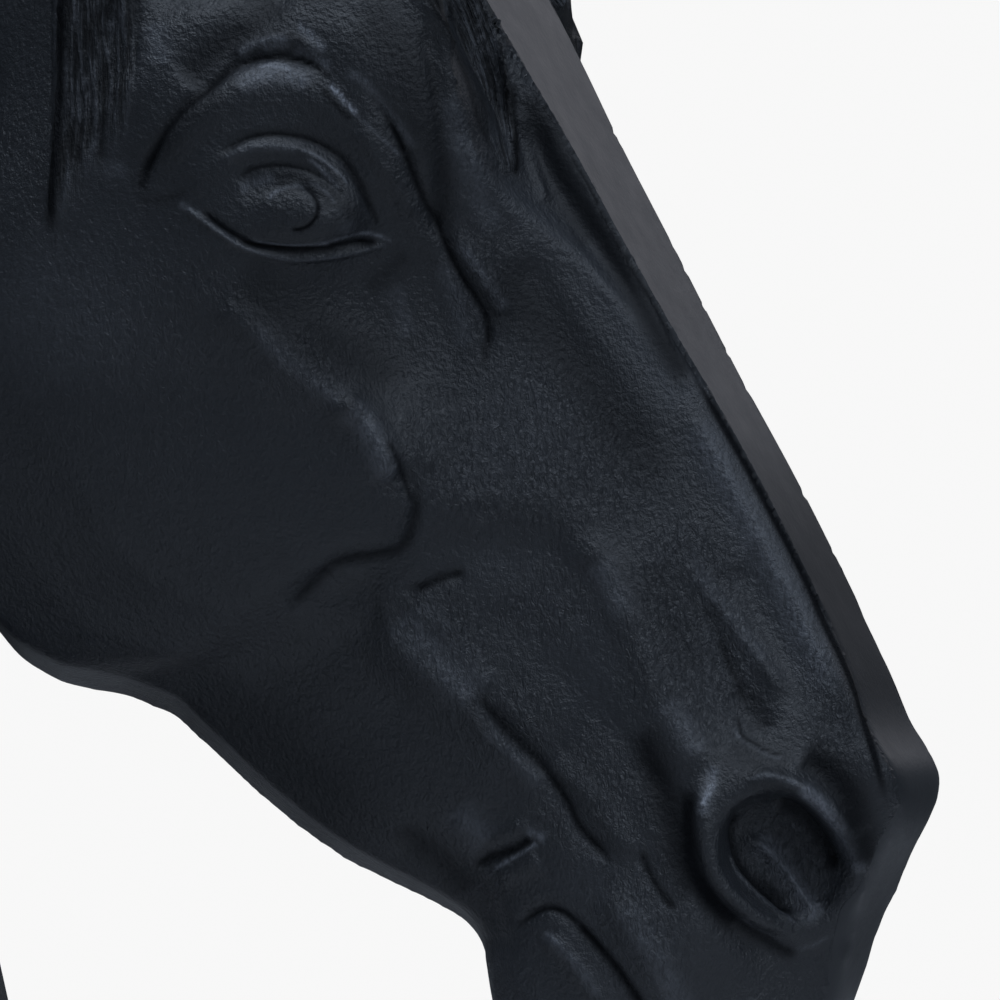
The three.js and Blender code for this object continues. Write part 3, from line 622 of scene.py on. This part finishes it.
# Takes the facets and voxel steps off, and gives the points and how far each belongs to an ear
def calmed(mesh):
    points = coordinates(mesh)
    ends = edgeEnds(mesh)
    underside = (points[:, 2] < 0.9) & (vertexNormals(mesh)[:, 2] < -0.8)
    points = relax(points, ends, skinSizes["relaxRounds"], np.where(underside, 0, 1.0))
    for low, high, rounds in skinSizes["wiped"]:
        inside = inBoxes(drawingPlaces(points), [(low, high)]) & (np.abs(points[:, 1]) > 12)
        soft = relax(np.repeat(inside.astype(float)[:, None], 3, 1), ends, 4, None, 0.7, 0.0)[:, 0]
        points = relax(points, ends, rounds, soft, 0.6, 0.0)
    ears = earShare(points)
    points = relax(points, ends, skinSizes["earRounds"], ears, 0.6, 0.0)
    neck = smooth(*skinSizes["neckFoot"], points[:, 2]) * smooth(*skinSizes["neckTop"], points[:, 2])
    neck = neck * smooth(*skinSizes["neckBack"], points[:, 0])
    neck = neck * smooth(*skinSizes["neckFront"], points[:, 0])
    points = relax(points, ends, skinSizes["neckRounds"], neck, 0.6, -0.55)
    points[underside, 2] = 0
    putCoordinates(mesh, points)
    return points, ears


# The near side of the head, the flat front and the ears keep every face, and the rest is thinned
def thin(piece):
    station, level, _ = headPlaces(coordinates(piece.data))
    onHead = (level > skinSizes["headAbove"]) & (station < skinSizes["headBefore"])
    points, ears = calmed(piece.data)
    print("skin: thinning the neck and the far side")
    onHead &= inBoxes(drawingPlaces(points), [skinSizes["picture"]])
    station, level, _ = headPlaces(points)
    onFront = (station > 30) & (station < 300) & (level > head["topLine"](station) - 9) & (points[:, 1] < 40)
    kept = (onHead & (points[:, 1] < skinSizes["nearSide"])) | onFront | (ears > 0.3)
    group = piece.vertex_groups.new(name="thin")
    for weight, chosen in ((0.0, kept), (1.0, ~kept)):
        group.add(np.flatnonzero(chosen).tolist(), weight, "REPLACE")
    thinning = piece.modifiers.new("thin", "DECIMATE")
    thinning.decimate_type = "COLLAPSE"
    thinning.ratio = (kept.sum() + skinSizes["coarseShare"] * (~kept).sum()) / len(points)
    thinning.vertex_group = "thin"
    thinning.vertex_group_factor = 1000
    applied(piece)
    piece.vertex_groups.clear()
    print("skin:", counted(piece.data))


def refineCarved(mesh):
    print("skin: refining the carved places")
    for name, side in (("fine", -1), ("finest", -1), ("farFine", 1)):
        boxes = skinSizes[name]
        points = coordinates(mesh)
        outward = side * vertexNormals(mesh)[:, 1] > 0.05
        chosen = inBoxes(drawingPlaces(points), boxes) & (side * points[:, 1] > 5) & outward
        if name == "fine":
            t, v, w = headPlaces(points)
            band = (np.abs(w - head["frontHalf"](t) - 1) < 3) & (np.abs(v - head["topLine"](t) + 2) < 7)
            chosen |= band & (side * points[:, 1] > 3) & (t > 50) & (t < 268)
        refine(mesh, chosen)
        points = coordinates(mesh)
        near = inBoxes(drawingPlaces(points), boxes) & (side * points[:, 1] > 4)
        putCoordinates(mesh, relax(points, edgeEnds(mesh), 3, near.astype(float)))
    print("skin:", counted(mesh))


# Cuts the faces where a value of their points passes zero
def cutWhere(bm, verts, valueOf, snap):
    value = {v: valueOf(v) for v in verts}
    onLine = set()
    for v, x in value.items():
        if abs(x) < snap:
            value[v] = 0.0
            onLine.add(v)
    crossing = [e for e in bm.edges if e.verts[0] in value and e.verts[1] in value
                and value[e.verts[0]] * value[e.verts[1]] < 0]
    for e in crossing:
        a, b = e.verts
        _, new = bmesh.utils.edge_split(e, a, value[a] / (value[a] - value[b]))
        onLine.add(new)
    for f in [f for f in bm.faces if any(v in onLine for v in f.verts)]:
        touched = [v for v in f.verts if v in onLine]
        if len(touched) == 2 and not bm.edges.get(touched):
            bmesh.utils.face_split(f, *touched)


# How far a point lies outside the edge of the flat front, less an offset
def creaseValue(offset):
    def value(v):
        x, y, z = 1000 * v.co
        c, s = math.cos(head["slope"]), math.sin(head["slope"])
        t = c * (x - head["start"][0]) + s * (head["start"][1] - z)
        return abs(y) - float(head["frontHalf"](np.array([t]))[0]) - offset
    return value


# Which places lie beside the edge of the flat front, on either side of it
def besideEdge(t, v):
    return (np.abs(v - head["topLine"](t) + 2) < 7) & (t > crease["from"]) & (t < crease["to"])


def cutFront(mesh):
    print("face: cutting the edges of the flat front")
    bm = bmesh.new()
    bm.from_mesh(mesh)
    for offset in crease["cuts"]:
        bm.verts.index_update()
        t, v, w = headPlaces(1000 * np.array([vert.co[:] for vert in bm.verts]))
        band = (np.abs(w - head["frontHalf"](t)) < crease["reach"]) & besideEdge(t, v)
        bm.verts.ensure_lookup_table()
        chosen = [bm.verts[i] for i in np.flatnonzero(band)]
        cutWhere(bm, chosen, creaseValue(offset), crease["snap"])
    bm.to_mesh(mesh)
    bm.free()


# Flattens the front and sinks its crease, and gives what the carving needs of each point
def shapedFront(mesh):
    points = coordinates(mesh)
    t, v, w = headPlaces(points)
    level = v
    hand = np.sign(points[:, 1])
    top = head["topLine"](t)
    front = head["frontHalf"](t)
    out = w - front
    inPlane = (out <= 0.01) & (np.abs(v - top) < crease["plane"])
    inPlane = inPlane & (t > crease["from"]) & (t < crease["tip"])
    ends = smooth(crease["from"], crease["from"] + crease["fadeIn"], t)
    ends = ends * smooth(0, crease["fadeOut"], crease["to"] + 4 - t)
    flat = top - crease["crown"] * (w / np.maximum(front, 1)) ** 2
    v = np.where(inPlane, v + (flat - v) * ends, v)
    outside = (out > 0.01) & (out < crease["reach"]) & besideEdge(t, v)
    lip = top - crease["lip"] - crease["lipSlope"] * out
    lipShare = smooth(crease["reach"], 0.8, out) * ends * smooth(*crease["lipFrom"], t)
    v = np.where(outside, v + (np.maximum(lip, v) - v) * lipShare, v)
    wall = (out > 0.01) & (out < crease["cuts"][1]) & (np.abs(v - top + 2) < 7)
    v = np.where(wall, v + (top - crease["depth"] * out / crease["cuts"][1] - v) * ends, v)
    points = fromHead(t, v, w, hand)
    tip = smooth(232, 244, t) * smooth(-48, -36, v) * smooth(34, 24, w)
    points = relax(points, edgeEnds(mesh), 14, tip, 0.6, 0.0)
    farBand = smooth(0.5, 1.2, out) * smooth(10, 7, out) * smooth(14, 10, np.abs(v - top)) * (hand > 0)
    farBand *= smooth(50, 60, t) * smooth(268, 258, t)
    points = relax(points, edgeEnds(mesh), 12, farBand, 0.6, 0.0)
    putCoordinates(mesh, points)
    offPlane = np.where((out <= 0.01) & (np.abs(v - top) < crease["plane"]), 0, 1)
    return {"station": t, "level": level, "half": w, "inPlane": inPlane, "offPlane": offPlane}


# Stronger in the middle of the worked bars of the face: x, y, wide, high, share
workedPatches = [
    (530, 450, 115, 85, 1), (435, 640, 60, 55, 1), (500, 725, 55, 50, 1), (590, 800, 60, 60, 1),
    (640, 930, 50, 75, 0.9), (690, 650, 70, 95, 1), (690, 560, 45, 45, 1), (480, 285, 28, 55, 1),
    (840, 700, 40, 65, 1), (180, 560, 90, 60, 0.25), (35, 160, 50, 90, 0.3), (150, 330, 110, 90, 0.35),
    (120, 460, 110, 70, 0.3), (545, 605, 65, 45, 0.8), (790, 860, 45, 55, 0.9), (590, 480, 80, 50, 0.8),
    (300, 370, 50, 40, 0.8),
]
eyeball = ((274, 220), (62, 30), 4, 0.4)
calmStrip = [(540, 110), (575, 180), (620, 260), (665, 340), (700, 395)]
crestLine = [(-108, 0), (-109, 28), (-105, 78), (-95, 132), (-78, 182), (-52, 228), (-20, 266), (18, 296),
             (56, 316), (90, 325), (117, 324)]
lockEdges = {
    "left": ((-40, 40, 84, 126, 165), (412, 452, 470, 482, 500)),
    "right": ((-40, 45, 90, 132, 172), (476, 500, 509, 512, 515)),
}


def keep(mesh, name, values):
    attribute = mesh.attributes.new(name, "FLOAT", "POINT")
    attribute.data.foreach_set("value", np.asarray(values, np.float32))


# Carves both sides alike, and keeps each point's painted shade and painted highlight, and how worked or
# smooth its finish is
def carve(mesh, face):
    print("face: carving")
    points = coordinates(mesh)
    places = drawingPlaces(points)
    normals = vertexNormals(mesh)
    t, offPlane = face["station"], face["offPlane"]
    sideways = smooth(*tool["facing"], np.abs(normals[:, 1])) * smooth(*tool["besides"], np.abs(points[:, 1]))
    lift, hollow, paintedHighlight = np.zeros((3, len(points)))
    strokes = [line for part in carving.values() for line in part] + hair["edges"]
    strokes += [line for lock in hair["strands"] for line in lock]
    for kind, width, size, line in strokes:
        touch = size * stroke(places, kind, width, line)
        # Shade strokes paint shade, and shine strokes paint highlights, into the colour
        if kind == "shade":
            hollow = np.maximum(hollow, touch)
        elif kind == "shine":
            paintedHighlight = np.maximum(paintedHighlight, touch)
        else:
            lift += touch if kind in ("ridge", "step") else -touch
    lift += mound(places, *eyeball)
    # Painted shade on the low part of the flat front
    lowFront = crease["dullShade"] * smooth(*crease["dullShadeFrom"], t) * smooth(*crease["dullShadeTo"], t)
    hollow = np.where(face["inPlane"], lowFront, hollow * offPlane)
    hollow *= np.maximum(sideways, smooth(40, 70, t))
    low, high = [1000 * np.array(corner[:]) for corner in cadBox]
    points = np.clip(points + normals * (lift * sideways * offPlane)[:, None], low, high)
    putCoordinates(mesh, points)
    worked = np.zeros(len(points))
    for x, y, wide, high, share in workedPatches:
        worked = np.maximum(worked, mound(places, (x, y), (wide, high), 0, share, 3))
    keep(mesh, "polish", np.maximum(1.0 - offPlane, 0.75 * stroke(places, "groove", 26, calmStrip)))
    keep(mesh, "worked", worked)
    keep(mesh, "hollow", hollow)
    keep(mesh, "paintedHighlight", paintedHighlight * sideways * offPlane)
    keepHair(mesh, points, places, sideways, face)


# Where the hair is, and how far across and along its strands each point lies, in strand widths
def keepHair(mesh, points, places, sideways, face):
    fromCrest, crestShare, _ = alongLine(points[:, [0, 2]], softLine(crestLine))
    fromCrest = np.hypot(fromCrest, points[:, 1] + 2)
    mane = smooth(*hair["maneReach"], fromCrest) * smooth(*hair["maneOver"], points[:, 1])
    mane = mane * smooth(*hair["maneEnd"], crestShare)
    x, y = places.T
    tuft = inBoxes(places, [hair["tuft"]]) * smooth(*hair["tuftEnd"], y + 1.2 * (x - 60))
    tuft = tuft * smooth(50, 60, x) * smooth(138, 122, x) * (np.abs(points[:, 1]) > 30)
    left, right = np.interp(y, *lockEdges["left"]), np.interp(y, *lockEdges["right"])
    inLock = (x - left) / np.maximum(right - left, 6)
    forelock = smooth(-0.08, 0.06, inLock) * smooth(1.08, 0.94, inLock) * smooth(176, 160, y)
    forelock = forelock * (face["half"] > 12)
    keep(mesh, "hair", np.maximum(mane, np.maximum(tuft, forelock) * sideways) * (face["level"] > -110))
    across = np.where(forelock > 0.02, hair["lockStrands"] * inLock, x / hair["tuftStrand"])
    inMane = (hair["crestLength"] * crestShare + hair["maneLean"] * fromCrest) / hair["maneStrand"]
    keep(mesh, "strandAcross", np.where(mane > 0.02, inMane, across))
    keep(mesh, "strandAlong", np.where(mane > 0.02, fromCrest / 30, y / 60))


skin = grownSkin()
thin(skin)
refineCarved(skin.data)
cutFront(skin.data)
carve(skin.data, shapedFront(skin.data))
skin.data.polygons.foreach_set("use_smooth", np.ones(len(skin.data.polygons), bool))
skin.data.update()


# A shader socket that takes part in ordinary expressions
class Socket:

    def __init__(self, tree, socket):
        self.tree, self.socket = tree, socket

    def math(self, operation, *others):
        node = self.tree.nodes.new("ShaderNodeMath")
        node.operation = operation
        for k, value in enumerate((self, *others)):
            if isinstance(value, Socket):
                self.tree.links.new(value.socket, node.inputs[k])
            else:
                node.inputs[k].default_value = value
        return Socket(self.tree, node.outputs[0])

    def __add__(self, other): return self.math("ADD", other)
    def __radd__(self, other): return self.math("ADD", other)
    def __mul__(self, other): return self.math("MULTIPLY", other)
    def __rmul__(self, other): return self.math("MULTIPLY", other)
    def __sub__(self, other): return self.math("SUBTRACT", other)
    def __rsub__(self, other): return self.math("MULTIPLY", -1.0).math("ADD", other)

    def ramp(self, low, high):
        node = self.tree.nodes.new("ShaderNodeMapRange")
        node.interpolation_type = "SMOOTHSTEP"
        node.inputs["From Min"].default_value = low
        node.inputs["From Max"].default_value = high
        self.tree.links.new(self.socket, node.inputs["Value"])
        return Socket(self.tree, node.outputs[0])


# A material that reads the piece's own coordinates and attributes
class Finish:

    def __init__(self, name):
        self.material = bpy.data.materials.new(name)
        self.material.use_nodes = True
        self.tree = self.material.node_tree
        self.shader = self.tree.nodes["Principled BSDF"]
        self.place = self.tree.nodes.new("ShaderNodeTexCoord").outputs["Object"]

    def node(self, kind, inputs=None, **settings):
        node = self.tree.nodes.new(kind)
        for key, value in settings.items():
            setattr(node, key, value)
        for key, value in (inputs or {}).items():
            if isinstance(value, Socket):
                self.tree.links.new(value.socket, node.inputs[key])
            elif isinstance(value, bpy.types.NodeSocket):
                self.tree.links.new(value, node.inputs[key])
            else:
                node.inputs[key].default_value = value
        return node

    def noise(self, scale, detail=2.0, roughness=0.5, distortion=0.0, place=None):
        node = self.node("ShaderNodeTexNoise", {
            "Vector": place or self.place, "Scale": scale, "Detail": detail, "Roughness": roughness,
            "Distortion": distortion})
        return Socket(self.tree, node.outputs["Fac"])

    def stretched(self, scale, turn=(0, 0, 0)):
        node = self.node("ShaderNodeMapping", {"Vector": self.place, "Scale": scale, "Rotation": turn})
        return node.outputs["Vector"]

    def attribute(self, name):
        node = self.node("ShaderNodeAttribute", attribute_name=name)
        return Socket(self.tree, node.outputs["Fac"])

    def mix(self, share, low, high):
        node = self.node("ShaderNodeMix", data_type="RGBA", clamp_factor=False)
        self.tree.links.new(share.socket, node.inputs[0])
        for k, colour in ((6, low), (7, high)):
            if isinstance(colour, tuple):
                node.inputs[k].default_value = colour
            else:
                self.tree.links.new(colour, node.inputs[k])
        return node.outputs[2]

    def varying(self, name, share, low, high):
        self.tree.links.new((share * (high - low) + low).socket, self.shader.inputs[name])


resin = {
    "dark": (0.0122, 0.0145, 0.0185, 1),
    "light": (0.0300, 0.0335, 0.0400, 1),
    # the colour of painted shade, in the creases and other shaded places
    "hollow": (0.0008, 0.0015, 0.0032, 1),
    # the colour of painted highlights
    "paintedHighlight": (0.1000, 0.1080, 0.1250, 1),
    "roughness": (0.36, 0.52),
    "hollowRoughness": 0.75,
    "hollowGloss": 0.12,
    "grain": 950,                     # short strokes left by the modeller's tool, per metre
    "grainLean": math.radians(-35),
    "pits": 760,
    "clouds": 60,
    "sheen": 140,
    "relief": 0.00125,
    "strandRelief": 0.0030,
    "workedGrain": 1.1,               # how deep the tool strokes are on the worked bars
    "plainGrain": 0.16,
    "pitDepth": 0.58,
    "most": 3.0,
}


def blackResin():
    finish = Finish("matteBlackResin")
    rough = 1 - finish.attribute("polish")
    worked = finish.attribute("worked")
    hollow = finish.attribute("hollow")
    paintedHighlight = finish.attribute("paintedHighlight")
    hair = finish.attribute("hair")

    # Tool strokes and pits on the skin, then strands in the hair
    fineness = resin["grain"]
    dabs = finish.stretched((fineness, fineness, 0.45 * fineness), (0, resin["grainLean"], 0))
    grain = finish.noise(1, 3, 0.62, 1.3, dabs)
    pits = finish.noise(resin["pits"], 3, 0.62)
    depth = worked * resin["workedGrain"] + resin["plainGrain"]
    relief = (grain * depth + pits * resin["pitDepth"]) * (rough * 0.88 + 0.12)
    skinBump = finish.node("ShaderNodeBump", {"Height": relief, "Strength": 0.8, "Distance": resin["relief"]})
    flow = finish.node("ShaderNodeCombineXYZ", {
        "X": finish.attribute("strandAcross"), "Y": finish.attribute("strandAlong")}).outputs[0]
    strand = finish.noise(1, 4, 0.62, 0.1, flow)
    bump = finish.node("ShaderNodeBump", {
        "Height": strand * hair, "Strength": 0.9, "Distance": resin["strandRelief"],
        "Normal": skinBump.outputs["Normal"]}).outputs["Normal"]
    finish.tree.links.new(bump, finish.shader.inputs["Normal"])

    # Painted shade in the hollows and between strands, and painted highlights on the strands' tips and where
    # shine strokes fall
    between = hair * (1 - strand.ramp(0.38, 0.5)) * 0.85
    dark = (hollow + between).math("MINIMUM", 1.0)
    tips = hair * strand.ramp(0.48, 0.62) * 0.8
    light = (paintedHighlight * (grain.ramp(0.3, 0.62) * 0.9 + 0.35) + tips).math("MINIMUM", resin["most"])
    clouds = finish.noise(resin["clouds"], 3, 0.6) * 0.55 + grain.ramp(0.35, 0.6) * worked * 0.5
    base = finish.mix(clouds, resin["dark"], resin["light"])
    base = finish.mix(light, base, resin["paintedHighlight"])
    base = finish.mix(dark, base, resin["hollow"])
    finish.tree.links.new(base, finish.shader.inputs["Base Color"])
    finish.varying("Roughness", finish.noise(resin["sheen"], 3, 0.6) + dark * 2.0, *resin["roughness"])

    # Painted shade: the shaded places mix into a dark, dull shader, so that the carved hollows read darker
    dullShade = finish.node("ShaderNodeBsdfPrincipled", {
        "Base Color": resin["hollow"], "Roughness": resin["hollowRoughness"],
        "Specular IOR Level": resin["hollowGloss"], "Normal": bump})
    either = finish.node("ShaderNodeMixShader", {
        0: hollow.math("MINIMUM", 1.0) * 0.85, 1: finish.shader.outputs[0], 2: dullShade.outputs[0]})
    finish.tree.links.new(either.outputs[0], finish.tree.nodes["Material Output"].inputs["Surface"])
    return finish.material


print("cast: black resin")
skin.data.materials.clear()
skin.data.materials.append(blackResin())
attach(skin, "root")
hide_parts("horse_head")

print("studio: floor and lamps")
stage = {"floorRadius": 0.45, "floor": (0.72, 0.72, 0.73, 1), "roughness": 0.75}
floorMesh = bpy.data.meshes.new("paleFloor")
bm = bmesh.new()
bmesh.ops.create_circle(bm, cap_ends=True, radius=stage["floorRadius"], segments=96)
bm.to_mesh(floorMesh)
bm.free()
floor = bpy.data.objects.new("paleFloor", floorMesh)
bpy.context.scene.collection.objects.link(floor)
floorFinish = Finish("paleFloorPaint")
floorFinish.shader.inputs["Base Color"].default_value = stage["floor"]
floorFinish.shader.inputs["Roughness"].default_value = stage["roughness"]
floorMesh.materials.append(floorFinish.material)

lamps = {
    "topBox": {"at": (0.10, -0.45, 1.35), "to": (0.15, 0, 0.2), "size": (0.9, 0.7), "watts": 8,
               "colour": (0.76, 0.86, 1)},
    "frontBox": {"at": (1.25, -0.55, 0.75), "to": (0.17, 0, 0.17), "size": (0.7, 0.9), "watts": 5,
                 "colour": (0.76, 0.86, 1)},
    "backBox": {"at": (0.45, 1.4, 0.98), "to": (0.17, 0, 0.2), "size": (1.5, 0.9), "watts": 2.6,
                "colour": (0.95, 0.93, 1)},
}
for name, lamp in lamps.items():
    data = bpy.data.lights.new(name, "AREA")
    data.shape = "RECTANGLE"
    data.size, data.size_y = lamp["size"]
    data.energy = lamp["watts"]
    data.color = lamp["colour"]
    box = bpy.data.objects.new(name, data)
    box.location = lamp["at"]
    box.rotation_mode = "QUATERNION"
    box.rotation_quaternion = (Vector(lamp["to"]) - Vector(lamp["at"])).to_track_quat("-Z", "Y")
    bpy.context.scene.collection.objects.link(box)

# The camera sees a near-white sweep, and the cast is lit by a much dimmer room
room = {"seen": 0.936, "low": 0.012, "level": 0.093, "high": 0.145, "colour": (0.75, 0.86, 1, 1)}
print("studio: room")
world = bpy.data.worlds.new("studio")
world.use_nodes = True
bpy.context.scene.world = world
tree = world.node_tree
tree.nodes.clear()
direction = Socket(tree, tree.nodes.new("ShaderNodeSeparateXYZ").outputs["Z"])
tree.links.new(tree.nodes.new("ShaderNodeTexCoord").outputs["Generated"], direction.socket.node.inputs[0])
strength = (direction.ramp(-0.7, 0.05) * (room["level"] - room["low"])
            + direction.ramp(0.0, 0.9) * (room["high"] - room["level"]) + room["low"])
lit = tree.nodes.new("ShaderNodeBackground")
lit.inputs["Color"].default_value = room["colour"]
tree.links.new(strength.socket, lit.inputs["Strength"])
seen = tree.nodes.new("ShaderNodeBackground")
seen.inputs["Color"].default_value = (1, 1, 1, 1)
seen.inputs["Strength"].default_value = room["seen"]
ray = tree.nodes.new("ShaderNodeLightPath")
either = tree.nodes.new("ShaderNodeMixShader")
tree.links.new(ray.outputs["Is Camera Ray"], either.inputs[0])
tree.links.new(lit.outputs[0], either.inputs[1])
tree.links.new(seen.outputs[0], either.inputs[2])
tree.links.new(either.outputs[0], tree.nodes.new("ShaderNodeOutputWorld").inputs["Surface"])
bpy.context.scene.view_settings.view_transform = "Standard"

bpy.context.view_layer.update()
print("cast:", counted(skin.data))
